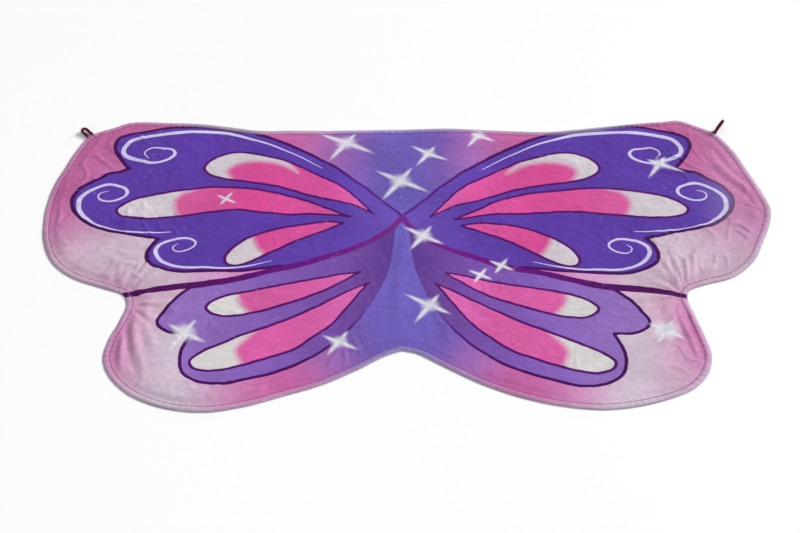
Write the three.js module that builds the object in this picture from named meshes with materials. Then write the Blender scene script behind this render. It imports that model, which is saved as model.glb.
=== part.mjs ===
// Fairy wings: a child's soft cape in the shape of a pair of butterfly wings, lying open with its
// print upwards. It is two layers of cloth, sewn together round the edge, turned and topstitched.
// An elastic finger loop is sewn into each upper corner, and two elastic shoulder straps are sewn
// to the lining, between the wings. The cloth folds along two lines beside the spine, so it is
// a back and two wings here.
//
// Millimetres, +Z up. X runs along the span and Y from the hem to the neck edge. The part rests
// on z = 0 with its lining, and its origin is the middle of the bottom of its box.
import * as THREE from 'three';

// Where the pattern lies in the part's frame.
const spineX = -10; // the right wing lies a little wider than the left
const draftLineY = -29; // the line across the wings that the pattern's heights are counted from

// Cloth, thread and the space between them.
const printThickness = 1.2;
const liningThickness = 0.6;
const touchGap = 0.3; // between two pieces that lie on each other
const foldLine = 110; // each wing folds on the back this far from the spine
const foldGap = 0.8;
const edgeStep = 9; // between the points of a curved edge
const stitchInset = 10; // from the edge to the topstitching
const threadWidth = 1;
const threadHeight = 0.4;

// Shoulder straps: flat elastic. Each leaves its sewn upper end sideways, runs down beside the
// fold line and comes back to its sewn lower end.
const elasticThickness = 1.2;
const strapWidth = 15;
const strapFoot = 60; // from the spine to the line that both sewn ends stop at
const strapOut = 37; // from there to the middle of the strap where it runs down
const strapBend = 28; // radius of its two bends
const strapTopY = 312;
const strapBottomY = 108;
const strapSteps = 36;
const strapEndLength = 13;
const strapEndSpread = 1; // the sewn end is this much wider than the strap on each side
const cornerRadius = 1.5;

// Finger loops: round elastic cord, bent into a U with both ends held in the edge seam.
const loopCordRadius = 2;
const loopCordSides = 10;
const loopSteps = 30;
const loopStandOff = 4; // from the cloth's edge to the line that the loop swings on
const tackLength = 12;
const tackWidth = 1.8;
const tackHeight = 0.5;
const tackInset = 5;

// Care label: a blank woven strip, sewn to the lining below the neck edge.
const labelWidth = 32;
const labelLength = 46;
const labelThickness = 0.5;
const labelTopY = 288;

// Each half of the edge as it lies, from the middle of the neck edge round to the middle of the
// hem: distance out from the spine, then height above the draft line. The narrowest place, between
// the upper and lower wing, is the side notch.
const rightEdge = [
  [0, 344], [90, 346], [180, 340], [250, 338], [320, 347], [400, 360], [450, 366], [478, 369],
  [508, 354], [538, 333], [562, 291], [582, 231], [598, 178], [606, 138], [600, 104], [584, 62],
  [562, 14], [524, -24], [474, -43], [450, -56], [446, -74], [453, -108], [464, -158], [469, -195],
  [461, -230], [438, -262], [400, -284], [350, -300], [296, -307], [232, -299], [172, -281],
  [116, -254], [62, -219], [22, -192], [0, -186],
];
const leftEdge = [
  [0, 344], [80, 341], [190, 341], [245, 341], [290, 349], [345, 359], [410, 363], [466, 364],
  [500, 348], [536, 328], [554, 290], [567, 246], [580, 200], [586, 148], [586, 112], [579, 58],
  [558, 8], [522, -26], [470, -50], [438, -65], [430, -86], [437, -122], [450, -166], [453, -204],
  [441, -238], [408, -276], [356, -303], [292, -312], [238, -302], [180, -281], [120, -257],
  [64, -224], [24, -196], [0, -186],
];

// Where each finger loop leaves the edge, the way it points, how far its round end is lifted and
// how far its plane is rolled from level, in degrees. reach runs to the middle of the round end,
// and the two half widths are those of the cord's middle line at the seam and at the round end.
const rightLoop = {
  side: 1, root: [538, 333], heading: 45, lift: 33, roll: -59, height: 3.9,
  reach: 16.2, seamHalf: 2.15, endHalf: 5,
};
const leftLoop = {
  side: -1, root: [536, 328], heading: 45, lift: 8, roll: 0, height: 2.3,
  reach: 10.2, seamHalf: 5, endHalf: 5,
};

// Heights of the layers. The back is raised by the straps that lie under it.
const strapZ = touchGap;
const wingLevel = layerHeights(0);
const backLevel = layerHeights(strapZ + elasticThickness + touchGap);

function layerHeights(liningZ) {
  const printZ = liningZ + liningThickness + touchGap;
  const threadZ = printZ + printThickness + touchGap;
  return { liningZ, printZ, threadZ };
}

const colours = {
  print: { color: 0x5a3fa8, roughness: 0.85, metalness: 0 },
  lining: { color: 0xa596b4, roughness: 0.75, metalness: 0 },
  thread: { color: 0x8a4f86, roughness: 0.6, metalness: 0 },
  elastic: { color: 0x4a1226, roughness: 0.8, metalness: 0 },
  label: { color: 0xf2f0f0, roughness: 0.7, metalness: 0 },
};

const pattern = new THREE.Group();
pattern.position.set(spineX, draftLineY, 0);

function addPiece(name, geometry, colour) {
  const piece = new THREE.Mesh(geometry, new THREE.MeshStandardMaterial(colours[colour]));
  piece.name = name;
  pattern.add(piece);
  return piece;
}

// A smooth edge through the given points, in even steps.
function smoothEdge(points) {
  const curve = new THREE.CatmullRomCurve3(
    points.map(([x, y]) => new THREE.Vector3(x, y, 0)),
    false,
    'centripetal',
  );
  const count = Math.round(curve.getLength() / edgeStep);
  return curve.getSpacedPoints(count).map((p) => new THREE.Vector2(p.x, p.y));
}

// The two places where half an edge crosses a line parallel to the spine.
function crossings(edge, x) {
  const found = [];
  for (let i = 1; i < edge.length; i += 1) {
    const a = edge[i - 1];
    const b = edge[i];
    if ((a.x - x) * (b.x - x) < 0) {
      found.push({ next: i, point: a.clone().lerp(b, (x - a.x) / (b.x - a.x)) });
    }
  }
  return found;
}

// A line round half the cape, cut at the fold line into the back's neck and hem stretches and the
// wing's own.
function cutAtFold(line) {
  const [backTop, backLow] = crossings(line, foldLine - foldGap / 2);
  const [wingTop, wingLow] = crossings(line, foldLine + foldGap / 2);
  return {
    neck: [...line.slice(0, backTop.next), backTop.point],
    hem: [backLow.point, ...line.slice(backLow.next)],
    wing: [wingTop.point, ...line.slice(wingTop.next, wingLow.next), wingLow.point],
  };
}

// Half the cape's edge and the two sides of its topstitching, each cut at the fold line.
function halfCape(points) {
  const edge = smoothEdge(points);
  return {
    edge: cutAtFold(edge),
    threadOuter: cutAtFold(besideLine(edge, stitchInset - threadWidth / 2)),
    threadInner: cutAtFold(besideLine(edge, stitchInset + threadWidth / 2)),
  };
}

function mirrored(points, side) {
  return points.map((p) => new THREE.Vector2(p.x * side, p.y));
}

function flatSolid(outline, thickness, z) {
  const options = { depth: thickness, bevelEnabled: false };
  const solid = new THREE.ExtrudeGeometry(new THREE.Shape(outline), options);
  return solid.translate(0, 0, z);
}

// A line beside the given one, towards the right hand of someone walking along it.
function besideLine(points, distance) {
  return points.map((p, i) => {
    const before = points[Math.max(i - 1, 0)];
    const after = points[Math.min(i + 1, points.length - 1)];
    const along = after.clone().sub(before).normalize();
    return new THREE.Vector2(p.x + along.y * distance, p.y - along.x * distance);
  });
}

// A band of even width along the given line.
function bandOutline(points, width) {
  return [...besideLine(points, -width / 2), ...besideLine(points, width / 2).reverse()];
}

function roundedRectangle(left, bottom, width, height, radius) {
  const shape = new THREE.Shape();
  shape.moveTo(left + radius, bottom);
  shape.absarc(left + width - radius, bottom + radius, radius, -Math.PI / 2, 0, false);
  shape.absarc(left + width - radius, bottom + height - radius, radius, 0, Math.PI / 2, false);
  shape.absarc(left + radius, bottom + height - radius, radius, Math.PI / 2, Math.PI, false);
  shape.absarc(left + radius, bottom + radius, radius, Math.PI, 1.5 * Math.PI, false);
  return shape.getPoints(2);
}

// One wing: lining, print and the topstitching that runs round its free edge.
function addWing(name, side, half) {
  const outline = mirrored(half.edge.wing, side);
  addPiece(`${name}_wing_lining`, flatSolid(outline, liningThickness, wingLevel.liningZ), 'lining');
  addPiece(`${name}_wing_print`, flatSolid(outline, printThickness, wingLevel.printZ), 'print');
  const stitching = mirrored([...half.threadOuter.wing, ...half.threadInner.wing.reverse()], side);
  addPiece(
    `${name}_wing_topstitch`,
    flatSolid(stitching, threadHeight, wingLevel.threadZ),
    'thread',
  );
}

// A line across the back, from its right half and its left half. The neck edge is drawn from left
// to right and the hem from right to left.
function acrossBack(right, left, stretch) {
  const leftPart = mirrored(left[stretch], -1).reverse();
  if (stretch === 'neck') return [...leftPart, ...right.neck.slice(1)];
  return [...right.hem, ...leftPart.slice(1)];
}

// The back, between the fold lines, with its topstitching along the neck edge and the hem.
function addBack(right, left) {
  const edge = (stretch) => acrossBack(right.edge, left.edge, stretch);
  const outline = [...edge('neck'), ...edge('hem')];
  addPiece('back_lining', flatSolid(outline, liningThickness, backLevel.liningZ), 'lining');
  addPiece('back_print', flatSolid(outline, printThickness, backLevel.printZ), 'print');
  for (const stretch of ['neck', 'hem']) {
    const outer = acrossBack(right.threadOuter, left.threadOuter, stretch);
    const inner = acrossBack(right.threadInner, left.threadInner, stretch);
    const stitching = flatSolid([...outer, ...inner.reverse()], threadHeight, backLevel.threadZ);
    addPiece(`${stretch}_topstitch`, stitching, 'thread');
  }
}

// One shoulder strap, flat under the lining, and the two ends that are sewn down.
function addStrap(name, side) {
  const bendX = strapFoot + strapOut - strapBend;
  const path = new THREE.Path();
  path.moveTo(strapFoot, strapTopY);
  path.absarc(bendX, strapTopY - strapBend, strapBend, Math.PI / 2, 0, true);
  path.absarc(bendX, strapBottomY + strapBend, strapBend, 0, -Math.PI / 2, true);
  path.lineTo(strapFoot, strapBottomY);
  const outline = mirrored(bandOutline(path.getSpacedPoints(strapSteps), strapWidth), side);
  addPiece(`${name}_shoulder_strap`, flatSolid(outline, elasticThickness, strapZ), 'elastic');

  const endWidth = strapWidth + 2 * strapEndSpread;
  const near = strapFoot - touchGap;
  const left = side > 0 ? near - strapEndLength : -near;
  for (const [end, middleY] of [['top', strapTopY], ['bottom', strapBottomY]]) {
    const lowY = middleY - endWidth / 2;
    const patch = roundedRectangle(left, lowY, strapEndLength, endWidth, cornerRadius);
    addPiece(`${name}_strap_${end}_tack`, flatSolid(patch, elasticThickness, strapZ), 'elastic');
  }
}

// The middle line of a finger loop's cord, lying level and pointing along X.
function loopMiddle({ reach, seamHalf, endHalf }) {
  const path = new THREE.Path();
  path.moveTo(0, -seamHalf);
  path.bezierCurveTo(reach * 0.4, -seamHalf, reach * 0.6, -endHalf, reach, -endHalf);
  path.absarc(reach, 0, endHalf, -Math.PI / 2, Math.PI / 2, false);
  path.bezierCurveTo(reach * 0.6, endHalf, reach * 0.4, seamHalf, 0, seamHalf);
  const points = path.getSpacedPoints(loopSteps).map((p) => new THREE.Vector3(p.x, p.y, 0));
  return new THREE.CatmullRomCurve3(points);
}

// One finger loop, and the bar tack that holds its ends in the seam.
function addFingerLoop(name, loop) {
  const section = [];
  for (let i = 0; i < loopCordSides; i += 1) {
    const angle = (2 * Math.PI * i) / loopCordSides;
    section.push(new THREE.Vector2(Math.cos(angle), Math.sin(angle)).multiplyScalar(loopCordRadius));
  }
  const cord = new THREE.ExtrudeGeometry(new THREE.Shape(section), {
    steps: loopSteps,
    extrudePath: loopMiddle(loop),
  });
  const piece = addPiece(`${name}_finger_loop`, cord, 'elastic');
  const heading = loopHeading(loop);
  piece.rotation.order = 'ZYX';
  piece.rotation.set(
    THREE.MathUtils.degToRad(loop.roll),
    -THREE.MathUtils.degToRad(loop.lift),
    heading,
  );
  const out = new THREE.Vector2(Math.cos(heading), Math.sin(heading));
  const root = new THREE.Vector2(loop.side * loop.root[0], loop.root[1]);
  const pivot = root.clone().addScaledVector(out, loopStandOff);
  piece.position.set(pivot.x, pivot.y, loop.height);

  const tack = new THREE.BoxGeometry(tackWidth, tackLength, tackHeight);
  const bar = addPiece(`${name}_loop_tack`, tack, 'thread');
  bar.rotation.z = heading;
  const held = root.clone().addScaledVector(out, -tackInset);
  bar.position.set(held.x, held.y, wingLevel.threadZ + tackHeight / 2);
}

function loopHeading(loop) {
  const angle = THREE.MathUtils.degToRad(loop.heading);
  return loop.side > 0 ? angle : Math.PI - angle;
}

function addCareLabel() {
  const lowY = labelTopY - labelLength;
  const outline = roundedRectangle(-labelWidth / 2, lowY, labelWidth, labelLength, cornerRadius);
  const z = backLevel.liningZ - touchGap - labelThickness;
  addPiece('care_label', flatSolid(outline, labelThickness, z), 'label');
}

const right = halfCape(rightEdge);
const left = halfCape(leftEdge);
addBack(right, left);
addWing('right', 1, right);
addWing('left', -1, left);
addStrap('right', 1);
addStrap('left', -1);
addFingerLoop('right', rightLoop);
addFingerLoop('left', leftLoop);
addCareLabel();

export default pattern;
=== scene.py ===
import math

import bpy
import numpy as np
from mathutils import Matrix, Vector
from mathutils.geometry import delaunay_2d_cdt


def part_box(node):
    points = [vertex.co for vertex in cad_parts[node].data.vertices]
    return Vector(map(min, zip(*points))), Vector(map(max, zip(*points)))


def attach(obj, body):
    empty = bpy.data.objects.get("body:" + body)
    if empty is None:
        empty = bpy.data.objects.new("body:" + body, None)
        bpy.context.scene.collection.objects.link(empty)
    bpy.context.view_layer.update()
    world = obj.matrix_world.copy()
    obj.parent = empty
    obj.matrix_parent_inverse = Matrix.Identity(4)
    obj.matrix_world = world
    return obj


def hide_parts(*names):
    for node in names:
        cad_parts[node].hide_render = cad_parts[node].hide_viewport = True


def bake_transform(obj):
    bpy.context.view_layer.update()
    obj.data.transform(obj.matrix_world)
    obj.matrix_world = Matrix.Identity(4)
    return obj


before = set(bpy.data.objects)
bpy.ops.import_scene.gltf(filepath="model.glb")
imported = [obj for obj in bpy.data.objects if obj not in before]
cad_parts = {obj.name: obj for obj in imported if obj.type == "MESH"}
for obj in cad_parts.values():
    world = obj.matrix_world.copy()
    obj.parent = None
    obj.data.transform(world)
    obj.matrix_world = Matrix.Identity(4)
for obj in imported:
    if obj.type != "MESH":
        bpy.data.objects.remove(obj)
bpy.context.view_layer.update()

MM = 0.001
SIDES = {"left": -1, "right": 1}

# Where the pattern lies, from the care label, which is centred on the spine.
LABEL_TOP = 288
label_low, label_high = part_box("care_label")
SPINE_X = (label_low.x + label_high.x) / 2 / MM
DRAFT_Y = label_high.y / MM - LABEL_TOP

# Cloth, in millimetres.
LATTICE = 3.0  # between the vertices of a printed half
LINING_LATTICE = 4.2
EDGE_STEP = 2.8
EDGE_ROWS = (0.4, 1.0, 2.0, 3.4, 5.2, 7.2, 8.6, 9.4, 10.0, 10.6, 11.4, 12.8)
ROWS_END = 14.6
SEAM = 10.0  # from the edge to the topstitching
PRINT_THICKNESS = 0.6
LINING_THICKNESS = 0.35
LAYER_GAP = 0.15
PRINT_INSET = 1.0  # the lining shows this far beyond the print
PRINT_ROUNDING = 1.6  # width of the print's rounded rim
NECK_ROLL = 2.6  # and this much further along the neck edge, where it rolls to the front


# ---------------------------------------------------------------- lines and distances

def smooth_line(points, step):
    """A centripetal Catmull-Rom line through the points, in even steps. Further columns go along."""
    p = np.array(points, float)
    p = np.vstack([2 * p[0] - p[1], p, 2 * p[-1] - p[-2]])
    a, b, c, d = p[:-3], p[1:-2], p[2:-1], p[3:]

    def gap(u, v):
        return np.sqrt(np.linalg.norm((v - u)[:, :2], axis=1))[:, None]

    ab, bc, cd = gap(a, b), gap(b, c), gap(c, d)
    leave = ((b - a) / ab - (c - a) / (ab + bc) + (c - b) / bc) * bc
    arrive = ((c - b) / bc - (d - b) / (bc + cd) + (d - c) / cd) * bc
    t = np.linspace(0, 1, 16, endpoint=False)[:, None, None]
    bend = 2 * b - 2 * c + leave + arrive
    lean = -3 * b + 3 * c - 2 * leave - arrive
    fine = ((bend * t + lean) * t + leave) * t + b
    fine = np.vstack([fine.transpose(1, 0, 2).reshape(-1, p.shape[1]), c[-1:]])
    return even_steps(fine, step)


def even_steps(line, step):
    """The line again, with its points in even steps."""
    length = np.r_[0, np.cumsum(np.linalg.norm(np.diff(line[:, :2], axis=0), axis=1))]
    places = np.linspace(0, length[-1], max(2, round(length[-1] / step) + 1))
    return np.column_stack([np.interp(places, length, column) for column in line.T])


def measure(line, x, y):
    """From each point: the distance to the line, the place along it, and the side of it, +1 left."""
    nearest, along, side = np.full(len(x), 1e12), np.zeros(len(x)), np.ones(len(x))
    passed = 0.0
    for (ax, ay), (bx, by) in zip(line[:-1, :2], line[1:, :2]):
        ux, uy = bx - ax, by - ay
        length = math.hypot(ux, uy)
        if length == 0:
            continue
        t = np.clip(((x - ax) * ux + (y - ay) * uy) / length**2, 0, 1)
        dx, dy = x - ax - t * ux, y - ay - t * uy
        distance = dx * dx + dy * dy
        closer = distance < nearest
        nearest[closer] = distance[closer]
        along[closer] = passed + t[closer] * length
        side[closer] = np.where(ux * dy - uy * dx >= 0, 1, -1)[closer]
        passed += length
    return np.sqrt(nearest), along, side


def is_inside(loop, x, y):
    """Whether each point is inside a closed line."""
    inside = np.zeros(len(x), bool)
    for (ax, ay), (bx, by) in zip(loop[:, :2], np.roll(loop, -1, axis=0)[:, :2]):
        if ay != by:
            crosses = (ay > y) != (by > y)
            inside ^= crosses & (x < ax + (y - ay) * (bx - ax) / (by - ay))
    return inside


def depth(loop, x, y):
    """How far inside a closed line each point is, below zero outside it."""
    distance = measure(np.vstack([loop, loop[:1]]), x, y)[0]
    return np.where(is_inside(loop, x, y), distance, -distance)


def ease(value, low, high):
    """0 below low, 1 above high and smooth between them."""
    t = np.clip((np.asarray(value, float) - low) / (high - low), 0, 1)
    return t * t * (3 - 2 * t)


# ---------------------------------------------------------------- the cape's edge

def upper_outline(node):
    """The corners round a flat CAD node's upper face, in order, in millimetres."""
    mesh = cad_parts[node].data
    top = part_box(node)[1].z
    edges = set()
    for polygon in mesh.polygons:
        corners = [mesh.vertices[i].co for i in polygon.vertices]
        if all(abs(c.z - top) < 1e-5 for c in corners):
            keys = [(round(c.x / MM, 2), round(c.y / MM, 2)) for c in corners]
            edges.update(zip(keys, keys[1:] + keys[:1]))
    following = {a: b for a, b in edges if (b, a) not in edges}
    loop = [min(following)]
    while len(loop) < len(following):
        loop.append(following[loop[-1]])
    return np.array(loop)


def to_pattern(points, side):
    """From the row frame to the pattern, both in millimetres."""
    return np.column_stack([(points[:, 0] - SPINE_X) * side, points[:, 1] - DRAFT_Y])


def half_edge(name):
    """Half the cape's edge, from the middle of the neck edge round to the middle of the hem."""
    side = SIDES[name]
    wing = to_pattern(upper_outline(f"{name}_wing_print"), side)
    start = np.argmax(wing[:, 1] - 1e3 * (wing[:, 0] > wing[:, 0].min() + 0.1))
    wing = np.roll(wing, -start, axis=0)
    if abs(wing[1, 0] - wing[0, 0]) < 0.1:
        wing = np.vstack([wing[:1], wing[:0:-1]])
    back = to_pattern(upper_outline("back_print"), side)
    back = back[(back[:, 0] > -0.01) & (back[:, 0] < wing[0, 0] - 2)]
    back = back[np.argsort(back[:, 0])]
    neck, hem = back[back[:, 1] > 0], back[back[:, 1] < 0]
    return smooth_line(np.vstack([neck, wing, hem[::-1]]), EDGE_STEP)


def beside(line, distance):
    """A line beside the given one, on its right, which is the inside of a half's edge."""
    along = np.gradient(line[:, :2], axis=0)
    along /= np.linalg.norm(along, axis=1)[:, None]
    shift = np.asarray(distance).reshape(-1, 1) * np.column_stack([along[:, 1], -along[:, 0]])
    return line[:, :2] + shift


EDGES = {name: half_edge(name) for name in SIDES}


# ---------------------------------------------------------------- how the cloth lies

# Folds and creases: from, to, half width and height. x is below zero on the left.
FOLDS = [
    ((-540, 122), (-574, 74), 4, 1.8), ((-556, 245), (-578, 140), 9, 1.6),
    ((-500, 352), (-520, 300), 6, 1.0), ((-470, 60), (-520, -10), 7, 1.4),
    ((-345, 66), (-312, 118), 7, 1.5), ((-395, 40), (-432, -72), 4, 2.0),
    ((-424, -84), (-432, -215), 5, 2.4), ((-412, -96), (-392, -240), 7, 2.0),
    ((-420, 10), (-437, -84), 3, 1.6), ((-375, 10), (-425, -70), 5, 1.2),
    ((-450, 10), (-440, -70), 4, 1.2), ((-431, -92), (-440, -192), 4, 2.6),
    ((-418, -80), (-408, -210), 5, 1.6), ((-400, -64), (-382, -190), 7, 1.2),
    ((-440, -120), (-418, -250), 6, 1.4), ((-352, -90), (-372, -150), 6, 1.0),
    ((-112, -225), (-92, -170), 3, 1.0), ((-84, -235), (-88, -160), 3, 0.9),
    ((-60, -215), (-76, -150), 3, 0.8), ((-215, -290), (-205, -250), 4, 0.9),
    ((518, 276), (598, 150), 7, 1.8), ((530, 312), (588, 196), 6, 1.3),
    ((574, 178), (600, 118), 3, 1.2), ((560, 150), (590, 140), 3, 1.1),
    ((540, 110), (596, 150), 4, 1.0), ((420, 366), (452, 352), 5, 1.6),
    ((446, 356), (474, 340), 5, 1.4), ((512, 60), (430, -20), 8, 1.5),
    ((560, 62), (500, 20), 4, 1.2), ((540, 88), (566, 60), 3, 1.0),
    ((437, 26), (444, -64), 2.6, 2.0), ((428, 36), (440, -70), 2.6, 1.6),
    ((452, 14), (447, -60), 2.6, 1.6), ((470, 30), (450, -66), 4, 1.5),
    ((414, 20), (438, -66), 4, 1.2), ((500, 4), (452, -60), 6, 1.4),
    ((443, -74), (462, -204), 3.4, 2.6), ((436, -84), (448, -210), 4, 1.5),
    ((420, -84), (400, -190), 8, 1.1), ((430, -78), (434, -160), 3, 1.3),
    ((330, -292), (420, -262), 7, 1.0), ((240, -286), (300, -292), 5, 0.9),
    ((300, 150), (290, 90), 6, 0.7), ((110, -60), (150, -130), 8, 0.7),
    ((15, 110), (-12, -150), 9, 0.7), ((48, -60), (70, -180), 7, 0.7),
]
NOTCHES = {"left": (430, -86), "right": (446, -72)}

# How high the print's relief is, in millimetres.
MEAN_RELIEF = 1.7
SWELL_HEIGHT = 1.5
WRINKLE_HEIGHT = 1.7
CRUMPLE_HEIGHT = 0.1
GATHER_HEIGHT = 0.9
GATHER_REACH = 100  # from the notch to where the gathers have died out
PUCKER_HEIGHT = 0.6
MARGIN_HEIGHT = 0.62  # the padded strip outside the stitching
STITCH_DIP = 0.35
LINING_SHARE = 0.45  # how much of the relief the lining has
STRAP_RISE = 1.65  # how far a strap or the label holds the cloth up
RISE_SLOPE = 45.0  # how far from a strap or the label the cloth comes down again
CORD_RISE = 2.0
CORD_SPREAD = 2.3  # half width of the ridge over a cord's end
WAVES = np.random.default_rng(7)


def wave_set(count, shortest, longest):
    """Random flat waves: their two frequencies and their phases."""
    angle = WAVES.uniform(0, math.pi, count)
    number = 2 * math.pi / np.exp(WAVES.uniform(math.log(shortest), math.log(longest), count))
    return np.column_stack([number * np.cos(angle), number * np.sin(angle),
                            WAVES.uniform(0, 2 * math.pi, count)])


SWELL = wave_set(10, 110, 260)
WRINKLE = wave_set(14, 34, 90)
CRUMPLE = wave_set(22, 9, 24)
PATCHES = wave_set(8, 90, 220)


def waves(which, x, y):
    """The sum of a set of waves, about -1 to 1."""
    total = sum(np.sin(u * x + v * y + phase) for u, v, phase in which)
    return total / math.sqrt(len(which) / 2) / 1.6


def fold_heights(x, y):
    """The folds' height, with a shallow valley beside each."""
    total = np.zeros(len(x))
    for (ax, ay), (bx, by), width, height in FOLDS:
        ux, uy = bx - ax, by - ay
        length = math.hypot(ux, uy)
        t = ((x - ax) * ux + (y - ay) * uy) / length**2
        q = ((x - ax) * uy - (y - ay) * ux) / length + 0.6 * width * np.sin(5 * t + ax)
        taper = ease(t, -0.12, 0.25) * ease(1 - t, -0.12, 0.25)
        ridge = np.exp(-(q / width) ** 2) - 0.55 * np.exp(-((q - 1.9 * width) / width) ** 2)
        total += height * taper * ridge
    return total


def gathers(name, x, y):
    """The fine gathers that run out of a side notch, where the edge is pulled in."""
    nx, ny = NOTCHES[name]
    px, py = x - nx, y - ny
    reach = np.hypot(px, py)
    turn = np.arctan2(py, -px)
    fan = np.sin(turn * 11 + 0.03 * reach) + 0.5 * np.sin(turn * 19 + 1.3)
    return GATHER_HEIGHT * fan * ease(reach, 2, 14) * (1 - ease(reach, 25, GATHER_REACH))


def puckers(along, inset):
    """Short waves across the seam, strongest at the stitching."""
    phase = along / 1.7 + 2.2 * np.sin(along / 31) + 1.7 * np.sin(along / 13.7 + 1)
    strength = 0.5 + 0.5 * np.sin(along / 47 + 2) * np.sin(along / 83)
    fade = np.where(inset < SEAM, 0.75 + 0.25 * inset / SEAM, np.exp(-(inset - SEAM) / 8))
    return PUCKER_HEIGHT * strength * np.sin(phase) * fade


def strap_rise(x, y):
    """How far the straps, their ends and the label hold the cloth up."""
    distance = measure(strap_middle(), np.abs(x), y)[0]
    strap = 1 - ease(distance, STRAP_WIDTH / 2 + 0.5, STRAP_WIDTH / 2 + RISE_SLOPE)
    half_width, half_length = (label_high - label_low).xy / 2 / MM
    beyond = np.hypot(np.clip(np.abs(x) - half_width, 0, None),
                      np.clip(np.abs(y - LABEL_TOP + half_length) - half_length, 0, None))
    label = 1 - ease(beyond, 0.5, RISE_SLOPE)
    return STRAP_RISE * np.maximum(strap, label)


def cord_rise(name, x, y):
    """How far the ends of the finger loop's cord hold the print up, in the seam."""
    loop = LOOPS[name]
    out = (x - loop["root"][0]) * math.sqrt(0.5)
    up = (y - loop["root"][1]) * math.sqrt(0.5)
    across = np.abs(up - out) - loop["foot_half"]
    return CORD_RISE * np.exp(-(across / CORD_SPREAD) ** 2) * ease(out + up, -11, -6.5)


def free_relief(name, x, y):
    """The print's relief where no seam holds it down, in millimetres."""
    signed = SIDES[name] * x
    outer = ease(x, 300, 520)
    patch = ease(waves(PATCHES, signed, y), -0.4, 0.7)
    ridges = ease(1 - np.abs(waves(WRINKLE, signed, y)), 0.5, 1)
    relief = MEAN_RELIEF + SWELL_HEIGHT * waves(SWELL, signed, y)
    relief += WRINKLE_HEIGHT * (0.35 + 0.65 * outer) * patch * ridges
    relief += CRUMPLE_HEIGHT * (1 + outer) * waves(CRUMPLE, signed, y)
    return relief + fold_heights(signed, y) + gathers(name, x, y)


def cloth_heights(name, x, y):
    """Heights of the lining's and the print's undersides, and each point's place by the edge."""
    inset, along, _ = measure(EDGES[name], x, y)
    relief = free_relief(name, x, y)
    margin = MARGIN_HEIGHT * np.sin(math.pi * np.clip(inset / SEAM, 0, 1)) ** 0.7
    pressed = 0.3 * relief * ease(inset, 1, 6)
    settled = 0.1 + relief * ease(inset, SEAM + 0.8, SEAM + 17)
    settled += 0.3 * relief * (1 - ease(inset, SEAM, 20))
    relief = np.where(inset < SEAM, margin + pressed, settled) + puckers(along, inset)
    relief -= STITCH_DIP * np.exp(-((inset - SEAM) / 1.1) ** 2)
    relief = 0.5 * (relief + np.sqrt(relief * relief + 0.02))
    rise = strap_rise(x, y)
    lining = rise + LINING_SHARE * relief * ease(inset, 4, 22)
    on_lining = LINING_THICKNESS + LAYER_GAP
    upper = np.maximum(rise + relief + cord_rise(name, x, y), lining) + on_lining
    return lining, upper, inset, along


# ---------------------------------------------------------------- sheets

def sheet_points(edge, lattice):
    """Where a half sheet's vertices lie: the closed edge, then rows beside it and a lattice."""
    low, high = edge[-1, 1], edge[0, 1]
    spine = np.linspace(low, high, round((high - low) / lattice) + 1)[1:-1]
    boundary = np.vstack([edge, np.column_stack([np.zeros(len(spine)), spine])])
    inner = []
    for row in EDGE_ROWS:
        points = beside(edge, row)
        inset = measure(edge, points[:, 0], points[:, 1])[0]
        inner.append(points[(inset > 0.93 * row) & (points[:, 0] > 0.6 * lattice)])
    xs = np.arange(0.9 * lattice, edge[:, 0].max(), lattice)
    ys = np.arange(low - 200, high + 40, lattice * math.sqrt(3) / 2)
    grid_x, grid_y = np.meshgrid(xs, ys)
    grid_x = grid_x + (np.arange(len(ys)) % 2)[:, None] * lattice / 2
    grid_x, grid_y = grid_x.ravel(), grid_y.ravel()
    keep = is_inside(boundary, grid_x, grid_y)
    grid_x, grid_y = grid_x[keep], grid_y[keep]
    keep = measure(edge, grid_x, grid_y)[0] > ROWS_END
    inner.append(np.column_stack([grid_x[keep], grid_y[keep]]))
    return boundary, np.vstack(inner)


def triangulate(boundary, inner):
    """Triangles over all the points inside the boundary."""
    points = [Vector(p) for p in np.vstack([boundary, inner])]
    count = len(boundary)
    loop = [(i, (i + 1) % count) for i in range(count)]
    corners, _, faces, *_ = delaunay_2d_cdt(points, loop, [], 1, 1e-4)
    return np.array(corners).T, np.array([f for f in faces if len(f) == 3])


def boundary_of(faces):
    """The directed edges that only one face has."""
    edges = {(a, b) for f in faces.tolist() for a, b in zip(f, f[1:] + f[:1])}
    return [(a, b) for a, b in edges if (b, a) not in edges]


def grid_quads(rows, columns):
    """The faces of a grid whose vertices are numbered row by row."""
    index = np.arange(rows * columns).reshape(rows, columns)
    return np.array([(index[r, c], index[r + 1, c], index[r + 1, c + 1], index[r, c + 1])
                     for r in range(rows - 1) for c in range(columns - 1)])


def tube_faces(rings, sides):
    """The faces of a closed tube whose vertices are numbered ring by ring."""
    faces = [(r * sides + i, r * sides + (i + 1) % sides, (r + 1) * sides + (i + 1) % sides,
              (r + 1) * sides + i) for r in range(rings - 1) for i in range(sides)]
    return faces + [tuple(range(sides))[::-1], tuple(range((rings - 1) * sides, rings * sides))]


def new_mesh(name, points, faces):
    """A smooth-shaded mesh object from points in metres."""
    mesh = bpy.data.meshes.new(name)
    mesh.from_pydata(np.asarray(points).tolist(), [], [list(f) for f in faces])
    mesh.validate()
    mesh.shade_smooth()
    piece = bpy.data.objects.new(name, mesh)
    bpy.context.scene.collection.objects.link(piece)
    return piece


def to_row_frame(side, x, y, z):
    """From the pattern in millimetres to the row frame in metres."""
    return np.column_stack([SPINE_X + side * x, DRAFT_Y + y, z]) * MM


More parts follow.
